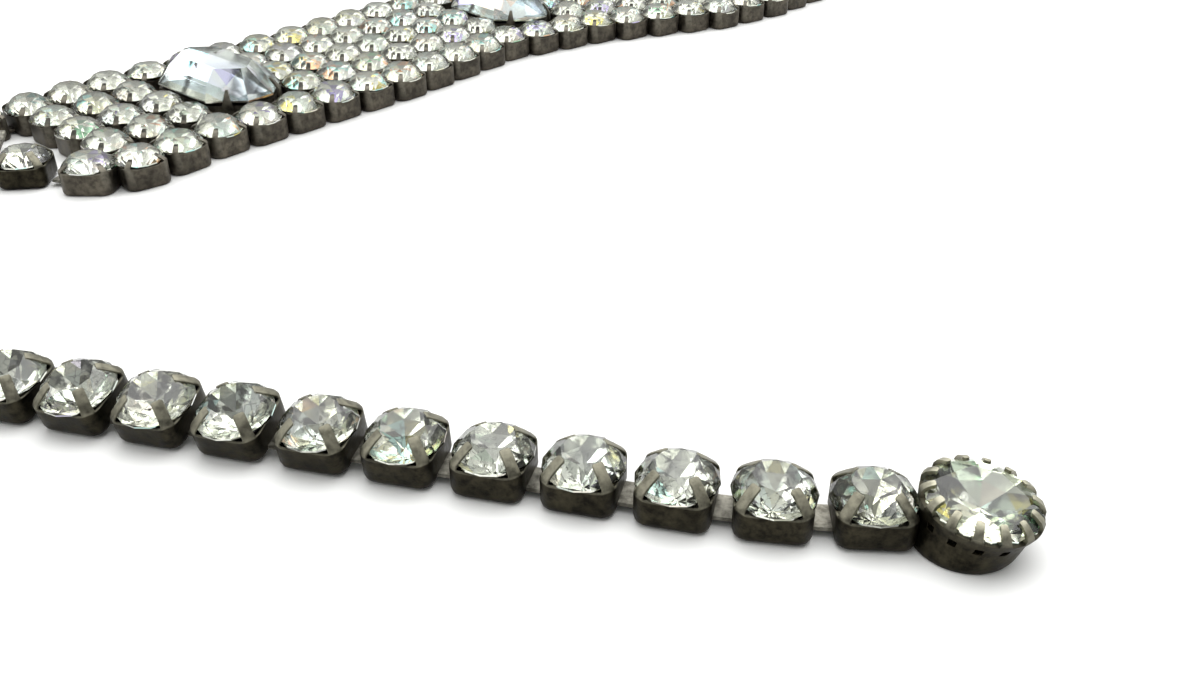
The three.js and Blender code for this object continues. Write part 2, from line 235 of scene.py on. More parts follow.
class ChokerChainSizes(bpy.types.PropertyGroup):
    """Sizes of the chain's cups and stones."""

    width: length("Cup width", "Outside width of a chain cup", 5.1)
    rim: length("Rim height", "Height of the cup's rim in the middle of each side", 2.3)
    wall: length("Wall", "Thickness of the cup's sheet metal", 0.2)
    corner: length("Corner radius", "Rounding of the cup's upright corners", 1.0)
    foot: length("Foot radius", "Rounding of the cup's lower edge", 0.6)
    rise: length("Corner rise", "How far the wall rises from the rim to the corners", 0.12)
    stone: length("Stone radius", "Radius of the stone at its girdle", 2.82)
    girdle: length("Girdle height", "Height of the stone's girdle", 2.42)
    crown: length("Stone top", "Height of the stone's table", 3.75)


class ChokerPanelSizes(bpy.types.PropertyGroup):
    """Sizes of the panel's cups and stones."""

    edge_along: length("Edge cup length", "Size of an edge cup along its row", 4.8)
    edge_across: length("Edge cup width", "Size of an edge cup across its row", 5.4)
    inner_along: length("Inner cup length", "Size of an inner cup along its row", 4.6)
    inner_across: length("Inner cup width", "Size of an inner cup across its row", 4.9)
    rim: length("Rim height", "Height of a panel cup's rim", 2.4)
    edge_stone: length("Edge stone radius", "Half the length of an edge row's stones", 2.62)
    inner_stone: length("Inner stone radius", "Half the length of an inner row's stones", 2.62)
    stretch: number("Stone stretch", "Width of a panel stone across the row over its length", 1.1)
    crown: length("Stone top", "Height of the table of a panel stone", 3.8)


class ChokerOctagonSizes(bpy.types.PropertyGroup):
    """Sizes of the octagon stones and their settings."""

    across: length("Width", "Octagon size across the panel", 17.3)
    along: length("Length", "Octagon size along the panel", 10.4)
    cut: length("Corner cut", "How much each corner is cut away", 3.5)
    girdle: length("Girdle height", "Height of the octagon's girdle", 3.25)
    crown: length("Stone top", "Height of the octagon's table", 6.45)
    inset: length("Table inset", "How far the table lies inside the outline", 2.6)


class ChokerHeadSizes(bpy.types.PropertyGroup):
    """Sizes of the round end head."""

    foot_radius: length("Foot radius", "Radius of the head's flat underside", 3.2)
    rim_radius: length("Rim radius", "Radius of the head's upper rim", 3.85)
    lean: length("Lean", "How far the underside lies towards the chain from under the rim", 0.8)
    tip: number("Tip", "Degrees that the head's rim drops away from the chain", 5.0)
    raise_back: number("Raise", "Degrees that the head's rim rises towards the back", 4.0)
    rim: length("Rim height", "Height of the head's upper rim", 2.95)
    stone: length("Stone radius", "Radius of the end stone", 3.7)
    girdle: length("Girdle height", "Height of the end stone's girdle", 3.0)
    crown: length("Stone top", "Height of the end stone's table", 3.95)


class ChokerLinkSizes(bpy.types.PropertyGroup):
    """Sizes of the strips, bars and hook."""

    link_low: length("Link height", "Height of the underside of a link strip", 0.4)
    link_thickness: length("Link thickness", "Thickness of a link strip", 0.3)
    bar_width: length("Bar width", "Width of a yoke bar", 2.2)
    bar_thickness: length("Bar thickness", "Thickness of a yoke bar", 0.5)
    wire: length("Wire radius", "Radius of the hook's wire", 0.6)
    shank: length("Shank", "Straight length of the hook before it turns", 6.0)
    bend: length("Bend", "Radius of the hook's turn", 1.7)
    barb: length("Barb", "Length of the hook after its turn", 3.5)


class ChokerFinishes(bpy.types.PropertyGroup):
    """Colours of the metals and stones."""

    tarnish_dark: colour("Dark tarnish", "Deepest colour of the tarnished cups", (0.012, 0.0105, 0.0075, 1))
    tarnish_light: colour("Light tarnish", "Palest patches of the tarnished cups", (0.052, 0.046, 0.030, 1))
    # bare metal of the wear, which also stands in as painted highlight on the rims and up the prongs
    worn: colour("Worn metal", "Bare metal on rims and prongs", (0.40, 0.385, 0.30, 1))
    panel_dark: colour("Panel dark", "Deepest colour of the panel's cups", (0.040, 0.034, 0.026, 1))
    panel_light: colour("Panel light", "Palest patches of the panel's cups", (0.13, 0.115, 0.088, 1))
    panel_wear_and_highlight: colour("Panel wear", "Bare metal on the panel's rims and prongs", (0.26, 0.245, 0.20, 1))
    silver: colour("Silver", "Link strips, bars and hook", (0.40, 0.385, 0.33, 1))
    silver_dark: colour("Silver shade", "Stains on the silver metal", (0.09, 0.084, 0.068, 1))
    crystal: colour("Crystal", "Tint of the clear stones", (0.97, 0.98, 0.97, 1))
    icy: colour("Icy crystal", "Tint of the octagon stones", (0.95, 0.98, 1.0, 1))


class ChokerStudio(bpy.types.PropertyGroup):
    """Camera and lights."""

    camera_x: number("Camera aside", "Camera's distance from the end head along X, in millimetres", -23.82)
    camera_y: number("Camera back", "Camera's distance from the end head along Y, in millimetres", -52.65)
    camera_height: length("Camera height", "Height of the camera above the table", 47.35)
    pitch: number("Camera pitch", "Degrees that the camera looks down", 31.6)
    lens: number("Lens", "Focal length in millimetres on a 36 mm sensor", 33.0)
    key_power: number("Key light", "Power of the large light above, in watts", 5.0)
    fill_power: number("Fill light", "Power of the low light from the left, in watts", 0.7)
    world: number("Surroundings", "Brightness of the surroundings", 1.0)
    floor: colour("Floor", "Colour of the table", (0.93, 0.93, 0.93, 1))


# ---- mesh helpers ----

def place_matrix(pose, tip=0.0):
    """Moves a template from the origin to its place, tipped forward about its near lower edge."""
    edge = Matrix.Translation((0, -CUP_HALF * MM, 0))
    turned = Matrix.Translation((pose.x, pose.y, 0)) @ Matrix.Rotation(pose.heading, 4, "Z")
    return turned @ edge @ Matrix.Rotation(math.radians(tip), 4, "X") @ edge.inverted()


def place_matrices(poses, tips=()):
    """The places of a run of cups, tipped where tips are given."""
    return [place_matrix(pose, tip) for pose, tip in zip_longest(poses, tips, fillvalue=0)]


def add_block(bm, size_x, size_y, low, high):
    """A box between two heights."""
    middle = Matrix.Translation((0, 0, (low + high) / 2))
    matrix = middle @ Matrix.Diagonal((size_x, size_y, high - low, 1))
    return bmesh.ops.create_cube(bm, size=1.0, matrix=matrix)["verts"]


def round_edges(bm, edges, radius, segments):
    """Bevels edges to a round."""
    bmesh.ops.bevel(
        bm, geom=edges, offset=radius, offset_type="OFFSET", segments=segments,
        profile=0.5, affect="EDGES", material=-1, clamp_overlap=True,
    )


def upright(edge):
    """Whether an edge stands straight up."""
    run = edge.verts[1].co - edge.verts[0].co
    return abs(run.z) > 0.99 * run.length


def sharp_edges(bm):
    """The edges where two faces meet at a marked angle."""
    return [e for e in bm.edges if len(e.link_faces) == 2 and e.calc_face_angle(0) > SHARP_TURN]


def slice_flat(bm, point, normal):
    """Cuts every face along a plane and keeps both sides."""
    bmesh.ops.bisect_plane(
        bm, geom=bm.verts[:] + bm.edges[:] + bm.faces[:], dist=SMALL,
        plane_co=point, plane_no=normal,
    )


def mark_wear_and_highlight(bm, low, high, most=1.0):
    """Wear and painted highlight that grow with height from nothing to their most."""
    layer = bm.verts.layers.float.get("worn") or bm.verts.layers.float.new("worn")
    for vert in bm.verts:
        vert[layer] = most * min(1.0, max(0.0, (vert.co.z - low) / (high - low)))


def mark_rim(bm, rim, edge, tips):
    """Wear and painted highlight on a thin rim that grow up the prongs to their tips, with none on the
    walls.
    """
    mark_wear_and_highlight(bm, rim, rim + MM, tips - edge)
    layer = bm.verts.layers.float["worn"]
    for vert in bm.verts:
        vert[layer] = vert[layer] + edge if vert.co.z > rim - RIM_SLACK else 0.0


def as_mesh(bm, name):
    """Turns a finished bmesh into mesh data and frees it."""
    data = bpy.data.meshes.new(name)
    bm.to_mesh(data)
    bm.free()
    return data


def stamp(target, template, matrix):
    """Adds a moved copy of the template to the target and gives back its new faces."""
    first_vert, first_face = len(target.verts), len(target.faces)
    target.from_mesh(template)
    target.verts.ensure_lookup_table()
    target.faces.ensure_lookup_table()
    bmesh.ops.transform(target, matrix=matrix, verts=target.verts[first_vert:])
    return target.faces[first_face:]


def make_piece(bm, name, finishes, nodes, smooth_angle=None):
    """Makes the piece's object, hides the frame nodes that it stands for and lets it ride on the body."""
    data = as_mesh(bm, name)
    for material in finishes:
        data.materials.append(finish(material))
    if smooth_angle is not None:
        data.shade_smooth()
        data.set_sharp_from_angle(angle=math.radians(smooth_angle))
    piece = bpy.data.objects.new(name, data)
    bpy.context.scene.collection.objects.link(piece)
    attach(piece, "root")
    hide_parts(*nodes)
    return piece


def soften(piece):
    """A fine rounding of every sharp edge."""
    modifier = piece.modifiers.new("Edge rounding", "BEVEL")
    modifier.width = FINE_ROUND
    modifier.limit_method = "ANGLE"
    modifier.angle_limit = math.radians(40)


# ---- templates ----

CupShape = namedtuple("CupShape", "along across rim rise wall corner foot segments prong steps")


def prong_steps(*steps):
    """A prong's outline: at each step how far inward and up, in millimetres, and how much width stays."""
    return [ProngStep(*step) for step in steps]


CHAIN_PRONG = prong_steps(
    (0.12, 0.24, 0.90), (0.45, 0.42, 0.95), (0.48, 0.40, 0.98), (0.34, 0.24, 0.98), (0.12, 0.03, 0.62),
)
PANEL_PRONG = prong_steps((0.12, 0.18, 0.95), (0.50, 0.26, 0.95), (0.50, 0.16, 0.80))
HEAD_PRONG = prong_steps(
    (-0.03, 0.30, 0.72), (0.20, 0.34, 0.90), (0.36, 0.26, 0.90), (0.28, 0.12, 0.95), (0.10, 0.00, 0.60),
)
SPIKE_STEPS = prong_steps((0.05, 0.45, 0.75), (0.35, 0.60, 0.50), (0.45, 0.60, 0.25))

# wear and painted highlight at a rim and at the prongs' tips
CUP_WEAR_AND_HIGHLIGHT = (0.35, 0.5)
HEAD_WEAR_AND_HIGHLIGHT = (0.05, 1.0)

# shares of a length, or heights and thicknesses in metres
RISING_BAND = 0.14 * MM
CORNER_REACH = 1.3
CORNER_TOP = 0.3
RISE_POWER = 1.5
PRONG_REACH = 0.5
BEND_KEPT = 0.5
UNEVEN_KEPT = 0.4
SPIKE_SIZE = (0.34 * MM, 1.25 * MM, 0.55 * MM)
SPIKE_HALF_WIDTH = 0.62 * MM
SPIKE_WEAR_AND_HIGHLIGHT_HEIGHT = 2.6 * MM
STRIP_ROUND = 0.07 * MM
STRIP_CORNER = 0.3 * MM
STONE_MAINS = 8
FLAT_ANGLE = 0.6
WIRE_SIDES = 16
WIRE_TURN_STEPS = 20
OCTAGON_BAND = 0.2 * MM
CROWN_SPLIT = 0.48
TABLE_CUT_LOSS = 1.3 * MM
SIDE_INSET = 0.38
CORNER_INSET = 0.28
LONG_SIDE_SPLITS = (-0.24, -0.08, 0.08, 0.24)
END_SPLITS = ((0.08, 0.0), (-0.12, 0.2))
UNDERSIDE_SPLITS = (-0.324, -0.162, 0.0, 0.162, 0.324)
UNDERSIDE_REACH = 0.24
UNDERSIDE_DEPTH = 0.75 * MM
KEEL_DEPTH = 1.2 * MM
UNSETTLED_FACETS = 5
TRAY_BASE = 1.1 * MM
TRAY_RIM = 2.85 * MM
SHARP_TURN = 1.2
HEAD_WALL = 0.26 * MM
PRONG_MIDDLE = 1.5
HEAD_PRONG_SPREAD = 1.7
HEAD_RINGS = ((0.15, 0.10), (0.32, 0.42), (0.40, 1.0), (0.48, 1.9), (0.72, 2.4))
WINDOW_HEIGHTS = (1.9 * MM, 2.4 * MM)


def new_parts(grown):
    """The new vertices and the new edges of an extrusion."""
    verts = [part for part in grown["geom"] if isinstance(part, bmesh.types.BMVert)]
    edges = [part for part in grown["geom"] if isinstance(part, bmesh.types.BMEdge)]
    return verts, edges


def prong_rim(bm, rim, centre, out, reach, half_width):
    """The rim's edges under one prong: far enough out from a centre and near the prong's middle."""
    side = UP.cross(out)
    return [
        edge for edge in bm.edges
        if len(edge.link_faces) == 1
        and all(v.co.z > rim - SMALL and (v.co - centre).dot(out) > reach for v in edge.verts)
        and all(abs((v.co - centre).dot(side)) < half_width for v in edge.verts)
    ]


def grow_prong(bm, edges, direction, steps):
    """Draws a run of rim edges out into a prong that bends in over the stone."""
    side = UP.cross(direction)
    for step in steps:
        verts, edges = new_parts(bmesh.ops.extrude_edge_only(bm, edges=edges))
        bmesh.ops.translate(bm, verts=verts, vec=(direction * step.inward + UP * step.up) * MM)
        middle = sum((vert.co for vert in verts), Vector()) / len(verts)
        for vert in verts:
            offset = vert.co - middle
            aside = side * offset.dot(side) * step.squeeze
            ahead = direction * offset.dot(direction) * BEND_KEPT
            vert.co = middle + aside + ahead + UP * offset.z * UNEVEN_KEPT


def bent_cup(shape, name):
    """A cup of bent sheet metal: rounded walls that rise at the corners into four prongs."""
    bm = bmesh.new()
    half_x, half_y, corner = shape.along / 2, shape.across / 2, shape.corner
    add_block(bm, shape.along, shape.across, 0, shape.rim)
    round_edges(bm, [edge for edge in bm.edges if upright(edge)], corner, shape.segments)
    bmesh.ops.delete(bm, geom=[face for face in bm.faces if face.normal.z > 0.9], context="FACES_ONLY")
    foot = [e for e in bm.edges if len(e.link_faces) == 2 and all(v.co.z < SMALL for v in e.verts)]
    round_edges(bm, foot, shape.foot, shape.segments // 2)
    slice_flat(bm, (0, 0, shape.rim - RISING_BAND), UP)
    for side in (-1, 1):
        slice_flat(bm, (side * (half_x - CORNER_REACH * corner), 0, 0), (1, 0, 0))
        slice_flat(bm, (0, side * (half_y - CORNER_REACH * corner), 0), (0, 1, 0))
    for vert in bm.verts:
        if vert.co.z > shape.rim - RISING_BAND - SMALL:
            short = max(half_x - abs(vert.co.x), half_y - abs(vert.co.y))
            toward_corner = 1 - (short - CORNER_TOP * corner) / corner
            vert.co.z += shape.rise * min(1.0, max(0.0, toward_corner)) ** RISE_POWER
    for side_x, side_y in ((-1, -1), (-1, 1), (1, -1), (1, 1)):
        centre = Vector((side_x * (half_x - corner), side_y * (half_y - corner), 0))
        out = Vector((side_x, side_y, 0)).normalized()
        rim = prong_rim(bm, shape.rim, centre, out, PRONG_REACH * corner, shape.prong)
        grow_prong(bm, rim, -out, shape.steps)
    bmesh.ops.recalc_face_normals(bm, faces=bm.faces)
    bmesh.ops.solidify(bm, geom=bm.faces[:], thickness=shape.wall)
    mark_rim(bm, shape.rim, *CUP_WEAR_AND_HIGHLIGHT)
    return as_mesh(bm, name)


def add_ring(bm, radius, height, count, turn=0.0, squash=1.0):
    """A ring of points at one height, turned by some degrees and squashed along Y."""
    matrix = Matrix.Translation((0, 0, height)) @ Matrix.Diagonal((1, squash, 1, 1))
    turned = matrix @ Matrix.Rotation(math.radians(turn), 4, "Z")
    bmesh.ops.create_circle(bm, segments=count, radius=radius, matrix=turned)


def shrink_skin(bm):
    """Puts a tight skin over all the points and joins its flat parts into facets."""
    bmesh.ops.delete(bm, geom=bm.edges[:], context="EDGES_FACES")
    bmesh.ops.convex_hull(bm, input=bm.verts[:])
    bmesh.ops.delete(bm, geom=[vert for vert in bm.verts if not vert.link_faces], context="VERTS")
    bmesh.ops.dissolve_limit(bm, angle_limit=math.radians(FLAT_ANGLE), verts=bm.verts[:], edges=bm.edges[:])
    bmesh.ops.recalc_face_normals(bm, faces=bm.faces)


def cut_stone(bm, foil_top, name, unsettled=0):
    """Skins a stone and gives its underside and girdle band the foil's material place."""
    shrink_skin(bm)
    for face in bm.faces:
        face.material_index = 1 if face.calc_center_median().z < foil_top else 0
    bm.faces.index_update()
    bm.faces.sort(key=lambda face: settled_place(face, unsettled))
    return as_mesh(bm, name)


def settled_place(face, unsettled):
    """Sorts the first facets, which come in a chance order: the table first, then the foil's along Y."""
    if face.index >= unsettled:
        return face.index
    return face.material_index - face.calc_center_median().y


def round_stone(radius, squash, girdle, top, depth, name, sides=16, band=0.13 * MM, table=0.56):
    """A brilliant-cut stone with a table, kites above the girdle and mains below it."""
    bm = bmesh.new()
    high = girdle + band
    kites = 0.42 + 0.74 * table
    half_turn = 180 / STONE_MAINS
    for share, height, count, turn in (
        (table, top, STONE_MAINS, 0),
        (kites, high + (top - girdle - band) * 0.56, STONE_MAINS, half_turn),
        (1, high, sides, 0),
        (1, girdle, sides, 0),
        (0.56, girdle - depth * 0.5, STONE_MAINS, half_turn),
    ):
        add_ring(bm, radius * share, height, count, turn, squash)
    bm.verts.new((0, 0, girdle - depth))
    return cut_stone(bm, high, name)


def octagon_block(bm, along, across, cut, low, high):
    """An eight-sided block: an oblong one with its upright edges cut off."""
    verts = add_block(bm, along, across, low, high)
    round_edges(bm, [edge for edge in bm.edges if upright(edge) and edge.verts[0] in verts], cut, 1)


def octagon_stone(sizes):
    """A long octagon: split facets between girdle and table, more below down to a keel."""
    bm = bmesh.new()
    along, across, cut, inset = sizes.along, sizes.across, sizes.cut, sizes.inset
    high = sizes.girdle + OCTAGON_BAND
    middle = high + (sizes.crown - high) * CROWN_SPLIT
    octagon_block(bm, along, across, cut, sizes.girdle, high)
    octagon_block(bm, along - 2 * inset, across - 2 * inset, cut - TABLE_CUT_LOSS, middle, sizes.crown)
    reach_x, reach_y = along / 2 - SIDE_INSET * inset, across / 2 - SIDE_INSET * inset
    for place in LONG_SIDE_SPLITS:
        for side in (-1, 1):
            bm.verts.new((side * reach_x, place * across, middle))
    pull = cut / 2 + CORNER_INSET * inset
    for side in (-1, 1):
        for place, drop in END_SPLITS:
            bm.verts.new((place * along, side * reach_y, middle - drop * MM))
        for other in (-1, 1):
            bm.verts.new((side * (along / 2 - pull), other * (across / 2 - pull), middle + 0.1 * MM))
    for place in UNDERSIDE_SPLITS:
        for side in (-1, 1):
            bm.verts.new((side * UNDERSIDE_REACH * along, place * across, sizes.girdle - UNDERSIDE_DEPTH))
    for place in LONG_SIDE_SPLITS:
        bm.verts.new((0, place * across, sizes.girdle - KEEL_DEPTH))
    return cut_stone(bm, high, "octagon_stone", UNSETTLED_FACETS)


def octagon_cup(sizes):
    """The octagon's dark tray with a thin rim and a pointed prong at each cut corner."""
    bm = bmesh.new()
    octagon_block(bm, sizes.along, sizes.across, sizes.cut, TRAY_BASE, TRAY_RIM)
    foot = [e for e in bm.edges if all(v.co.z < TRAY_BASE + SMALL for v in e.verts)]
    round_edges(bm, foot, 0.5 * MM, 2)
    top = [face for face in bm.faces if face.normal.z > 0.9]
    for thickness, depth in ((0.3 * MM, 0), (0.05 * MM, -0.9 * MM)):
        bmesh.ops.inset_region(bm, faces=top, thickness=thickness, depth=depth, use_even_offset=True)
    # wear and painted highlight from the tray's rim upward
    mark_wear_and_highlight(bm, TRAY_RIM - 0.1 * MM, TRAY_RIM + 2 * MM)
    corner_x, corner_y = (sizes.along - sizes.cut) / 2, (sizes.across - sizes.cut) / 2
    for turn in (45, 135, 225, 315):
        angle = math.radians(turn)
        out = Vector((math.cos(angle), math.sin(angle), 0))
        foot_at = Vector((math.copysign(corner_x, out.x), math.copysign(corner_y, out.y), 0))
        add_spike(bm, foot_at + out * 0.2 * MM, angle, TRAY_RIM - 0.5 * MM)
    return as_mesh(bm, "octagon_cup")


def add_spike(bm, place, angle, foot):
    """A pointed prong that stands on the tray's edge and leans in over the stone."""
    spike = bmesh.new()
    thickness, width, height = SPIKE_SIZE
    add_block(spike, thickness, width, 0, height)
    top = [face for face in spike.faces if face.normal.z > 0.9]
    for step in SPIKE_STEPS:
        raised = bmesh.ops.extrude_face_region(spike, geom=top)["geom"]
        bmesh.ops.delete(spike, geom=top, context="FACES_ONLY")
        top = [part for part in raised if isinstance(part, bmesh.types.BMFace)]
        verts = [part for part in raised if isinstance(part, bmesh.types.BMVert)]
        bmesh.ops.translate(spike, verts=verts, vec=Vector((-step.inward, 0, step.up)) * MM)
        for vert in verts:
            vert.co.y = math.copysign(step.squeeze * SPIKE_HALF_WIDTH, vert.co.y)
    matrix = Matrix.Translation(place + UP * foot) @ Matrix.Rotation(angle, 4, "Z")
    bmesh.ops.transform(spike, matrix=matrix, verts=spike.verts)
    # wear and painted highlight growing up the spike
    mark_wear_and_highlight(spike, foot, foot + SPIKE_WEAR_AND_HIGHLIGHT_HEIGHT, 0.6)
    bm.from_mesh(as_mesh(spike, "octagon_spike"))


def strip_between(bm, start, end, width, low, thickness, draw_start, draw_end, tip=0.0):
    """A flat strip between two places, with its ends drawn in and its edges rounded."""
    run = Vector((end.x - start.x, end.y - start.y, 0))
    strip = bmesh.new()
    add_block(strip, run.length - draw_start - draw_end, width, low, low + thickness)
    round_edges(strip, [edge for edge in strip.edges if upright(edge)], min(STRIP_CORNER, width * 0.2), 2)
    strip.normal_update()
    round_edges(strip, sharp_edges(strip), STRIP_ROUND, 1)
    middle = (run.length + draw_start - draw_end) / 2
    heading = math.atan2(run.y, run.x)
    matrix = place_matrix(Pose(start.x, start.y, heading), tip) @ Matrix.Translation((middle, 0, 0))
    bmesh.ops.transform(strip, matrix=matrix, verts=strip.verts)
    bm.from_mesh(as_mesh(strip, "strip"))


def hook_wire(sizes):
    """A wire that runs straight, turns back on itself and ends in a rounded tip."""
    bm = bmesh.new()
    across = Matrix.Translation((0, 0, sizes.wire)) @ Matrix.Rotation(math.radians(90), 4, "Y")
    bmesh.ops.create_circle(bm, cap_ends=True, segments=WIRE_SIDES, radius=sizes.wire, matrix=across)
    tip, end = new_parts(bmesh.ops.extrude_edge_only(bm, edges=bm.edges[:]))
    bmesh.ops.translate(bm, verts=tip, vec=(sizes.shank, 0, 0))
    turned = bmesh.ops.spin(
        bm, geom=tip + end, cent=(sizes.shank, sizes.bend, 0), axis=UP, angle=math.pi,
        steps=WIRE_TURN_STEPS, use_merge=False,
    )["geom_last"]
    end = [part for part in turned if isinstance(part, bmesh.types.BMEdge)]
    tip, end = new_parts(bmesh.ops.extrude_edge_only(bm, edges=end))
    bmesh.ops.translate(bm, verts=tip, vec=(-sizes.barb, 0, 0))
    bmesh.ops.contextual_create(bm, geom=end)
    bmesh.ops.recalc_face_normals(bm, faces=bm.faces)
    round_edges(bm, sharp_edges(bm), sizes.wire * 0.7, 4)
    return bm


def head_cup(sizes):
    """A round cup with a window beside each prong's foot and a ring of prongs on its rim."""
    bm = bmesh.new()
    steps = HEAD_PRONGS * HEAD_CELLS
    pitch = 2 * math.pi / steps
    first = Matrix.Rotation(-PRONG_MIDDLE * pitch, 4, "Z")
    bmesh.ops.create_circle(bm, cap_ends=True, segments=steps, radius=sizes.foot_radius, matrix=first)
    edges = bm.edges[:]
    for share, height in (*HEAD_RINGS, (1.0, sizes.rim / MM)):
        radius = sizes.foot_radius + (sizes.rim_radius - sizes.foot_radius) * share
        verts, edges = new_parts(bmesh.ops.extrude_edge_only(bm, edges=edges))
        for vert in verts:
            vert.co = Vector((vert.co.x, vert.co.y, 0)).normalized() * radius + UP * height * MM
    low, high = WINDOW_HEIGHTS
    windows = []
    for face in bm.faces:
        centre = face.calc_center_median()
        cell = math.floor(math.atan2(centre.y, centre.x) / pitch + PRONG_MIDDLE) % HEAD_CELLS
        if low < centre.z < high and cell in HEAD_WINDOW_CELLS:
            windows.append(face)
    bmesh.ops.delete(bm, geom=windows, context="FACES_ONLY")
    for index in range(HEAD_PRONGS):
        angle = 2 * math.pi * index / HEAD_PRONGS
        out = Vector((math.cos(angle), math.sin(angle), 0))
        half_width = HEAD_PRONG_SPREAD * pitch * sizes.rim_radius
        rim = prong_rim(bm, sizes.rim, Vector(), out, sizes.rim_radius / 2, half_width)
        grow_prong(bm, rim, -out, HEAD_PRONG)
    bmesh.ops.recalc_face_normals(bm, faces=bm.faces)
    bmesh.ops.solidify(bm, geom=bm.faces[:], thickness=HEAD_WALL)
    mark_rim(bm, sizes.rim, *HEAD_WEAR_AND_HIGHLIGHT)
    facing = Matrix.Rotation(math.radians(HEAD_PRONG_FACING), 4, "Z")
    bmesh.ops.transform(bm, matrix=facing, verts=bm.verts)
    for vert in bm.verts:
        share = min(1.0, vert.co.z / sizes.rim)
        raised = vert.co.y * math.tan(math.radians(sizes.raise_back))
        raised -= vert.co.x * math.tan(math.radians(sizes.tip))
        vert.co.z += share * raised
        vert.co.x -= sizes.lean * (1 - share)
    return as_mesh(bm, "head_cup")


# ---- finishes ----

# painted light and shade: each foil facet picks a grey from nearly white to nearly black, which stands in
# for its reflections
PAINTED_FACET_LIGHT_AND_SHADE = (
    (0.00, (0.90, 0.91, 0.87)),
    (0.26, (0.72, 0.73, 0.70)),
    (0.50, (0.97, 0.98, 0.95)),
    (0.66, (0.52, 0.53, 0.51)),
    (0.80, (0.32, 0.33, 0.31)),
    (0.90, (0.08, 0.08, 0.07)),
    (0.94, (1.00, 1.00, 0.96)),
)
# painted coloured flashes that stand in for the crystals' fire, picked by a shuffled chance number
PAINTED_FLASHES = (
    (0.00, (1.0, 1.0, 1.0)),
    (0.60, (0.85, 0.96, 1.0)),
    (0.70, (1.0, 0.98, 0.80)),
    (0.80, (1.0, 0.90, 0.88)),
    (0.85, (0.90, 0.88, 1.0)),
    (0.89, (0.45, 0.92, 1.0)),
    (0.92, (1.0, 0.85, 0.20)),
    (0.945, (1.0, 0.52, 0.30)),
    (0.965, (0.55, 0.45, 1.0)),
    (0.985, (0.50, 1.0, 0.70)),
)
Foil = namedtuple("Foil", "tint shade flash creases roughness")
# tint is the foil's colour; shade, flash and creases set how strongly the painted facet light and shade, the
# painted coloured flashes and the painted crease shade show
FOILS = {
    "stone_foil": Foil((0.84, 0.85, 0.79, 1), 0.8, 0.5, 0.8, 0.1),
    "panel_foil": Foil((0.70, 0.71, 0.63, 1), 0.4, 0.8, 0.3, 0.2),
    "icy_foil": Foil((0.93, 0.97, 0.97, 1), 0.4, 0.75, 0.0, 0.2),
    "head_foil": Foil((0.93, 0.96, 0.85, 1), 0.35, 0.8, 0.1, 0.1),
}
# painted shade: the colour of the dark lines along the foil's creases
CREASE_SHADE_COLOUR = (0.05, 0.05, 0.05, 1)

# waves to the metre
PATCH_SCALE = 1500
STAIN_SCALE = 420
GRAIN_SCALE = 7000
FOIL_BEND_SCALE = 2600
CREASE_SCALE = 1500


def new_group(name, inputs, outputs):
    """An empty shader node group with the given sockets."""
    group = bpy.data.node_groups.new(name, "ShaderNodeTree")
    for label, kind, default in inputs:
        socket = group.interface.new_socket(label, in_out="INPUT", socket_type=kind)
        socket.default_value = default
    for label, kind in outputs:
        group.interface.new_socket(label, in_out="OUTPUT", socket_type=kind)
    source = group.nodes.new("NodeGroupInput")
    sink = group.nodes.new("NodeGroupOutput")
    return group, source, sink


def connect(tree, value, socket):
    """Links a socket to another, or sets it to a plain value."""
    if isinstance(value, bpy.types.NodeSocket):
        tree.links.new(value, socket)
    else:
        socket.default_value = value


def mix_colours(tree, share, first, second, blend="MIX"):
    """A colour mix node with its sockets linked or set."""
    node = tree.nodes.new("ShaderNodeMix")
    node.data_type = "RGBA"
    node.blend_type = blend
    for place, value in ((0, share), (6, first), (7, second)):
        connect(tree, value, node.inputs[place])
    return node.outputs[2]


def maths(tree, operation, *values, clamp=False):
    """A maths node with its sockets linked or set."""
    node = tree.nodes.new("ShaderNodeMath")
    node.operation = operation
    node.use_clamp = clamp
    for socket, value in zip(node.inputs, values):
        connect(tree, value, socket)
    return node.outputs[0]


def remap(tree, value, from_range, to_range):
    """A map range node from one span of numbers to another."""
    node = tree.nodes.new("ShaderNodeMapRange")
    for socket, value_in in zip(node.inputs, (value, *from_range, *to_range)):
        connect(tree, value_in, socket)
    return node.outputs[0]


def noise(tree, vector, scale, detail, roughness=0.55):
    """A noise texture's value."""
    node = tree.nodes.new("ShaderNodeTexNoise")
    for label, value in (("Scale", scale), ("Detail", detail), ("Roughness", roughness)):
        node.inputs[label].default_value = value
    tree.links.new(vector, node.inputs["Vector"])
    return node.outputs["Fac"]


def attribute(tree, name):
    """The number that a mesh keeps under a name."""
    node = tree.nodes.new("ShaderNodeAttribute")
    node.attribute_name = name
    return node.outputs["Fac"]


def object_place(tree):
    """The place on the object in its own coordinates."""
    return tree.nodes.new("ShaderNodeTexCoord").outputs["Object"]


def colour_steps(tree, value, stops):
    """A stepped colour ramp that reads a value."""
    node = tree.nodes.new("ShaderNodeValToRGB")
    ramp = node.color_ramp
    ramp.interpolation = "CONSTANT"
    while len(ramp.elements) < len(stops):
        ramp.elements.new(1.0)
    for element, (place, shade) in zip(ramp.elements, stops):
        element.position = place
        element.color = (*shade, 1.0)
    tree.links.new(value, node.inputs["Fac"])
    return node.outputs["Color"]


